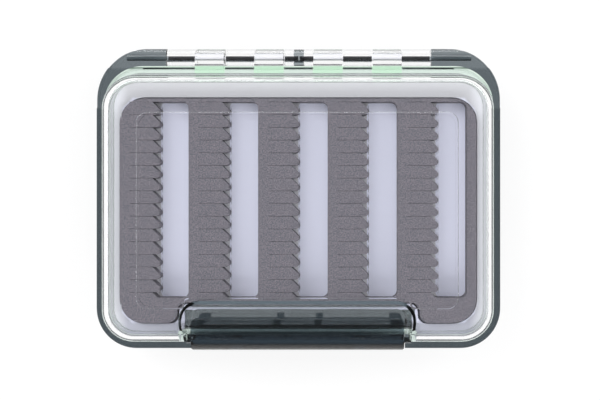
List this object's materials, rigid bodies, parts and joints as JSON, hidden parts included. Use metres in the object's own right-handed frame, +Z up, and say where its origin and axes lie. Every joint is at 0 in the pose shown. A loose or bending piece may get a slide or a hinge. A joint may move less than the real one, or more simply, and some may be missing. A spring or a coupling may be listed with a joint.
{
  "type": "fly box",
  "caption": "Two-sided waterproof fly box: smoky frame, clear domed hinged lids with snap latches, green gaskets, slit foam over a pale tray.",
  "frame": {"origin": "centre of the closed box's footprint, on the plane that its lower lid rests on", "axes": "+X along the length, +Y towards the hinge, +Z up through the upper lid"},
  "size_m": [0.13, 0.097, 0.036],
  "materials": {
    "smoke_plastic": "smoke-tinted translucent gloss",
    "clear_plastic": "clear gloss",
    "pale_plastic": "pale lavender satin",
    "grey_foam": "matt closed-cell foam",
    "green_rubber": "matt silicone",
    "clear_tape": "thin film",
    "steel": "drawn wire"
  },
  "bodies": {
    "frame": {"middle_frame": "smoke_plastic", "inner_tray": "pale_plastic", "top_foam": "grey_foam", "bottom_foam": "grey_foam", "top_foam_tape": "clear_tape", "bottom_foam_tape": "clear_tape", "hinge_pin_left": "steel", "hinge_pin_right": "steel", "top_latch_pin": "steel", "bottom_latch_pin": "steel"},
    "top_lid": {"top_lid": "clear_plastic", "top_gasket": "green_rubber"},
    "bottom_lid": {"bottom_lid": "clear_plastic", "bottom_gasket": "green_rubber"},
    "top_latch": {"top_latch": "smoke_plastic"},
    "bottom_latch": {"bottom_latch": "smoke_plastic"}
  },
  "joints": [
    {"name": "top_lid_hinge", "type": "hinge", "parent": "frame", "child": "top_lid", "pos_m": [0, 0.0455, 0.018], "axis": [-1, 0, 0], "range_deg": [0, 180]},
    {"name": "bottom_lid_hinge", "type": "hinge", "parent": "frame", "child": "bottom_lid", "pos_m": [0, 0.0455, 0.018], "axis": [1, 0, 0], "range_deg": [0, 180]},
    {"name": "top_latch_pivot", "type": "hinge", "parent": "frame", "child": "top_latch", "pos_m": [0, -0.0462, 0.0206], "axis": [1, 0, 0], "range_deg": [0, 90]},
    {"name": "bottom_latch_pivot", "type": "hinge", "parent": "frame", "child": "bottom_latch", "pos_m": [0, -0.0462, 0.0154], "axis": [-1, 0, 0], "range_deg": [0, 90]}
  ]
}
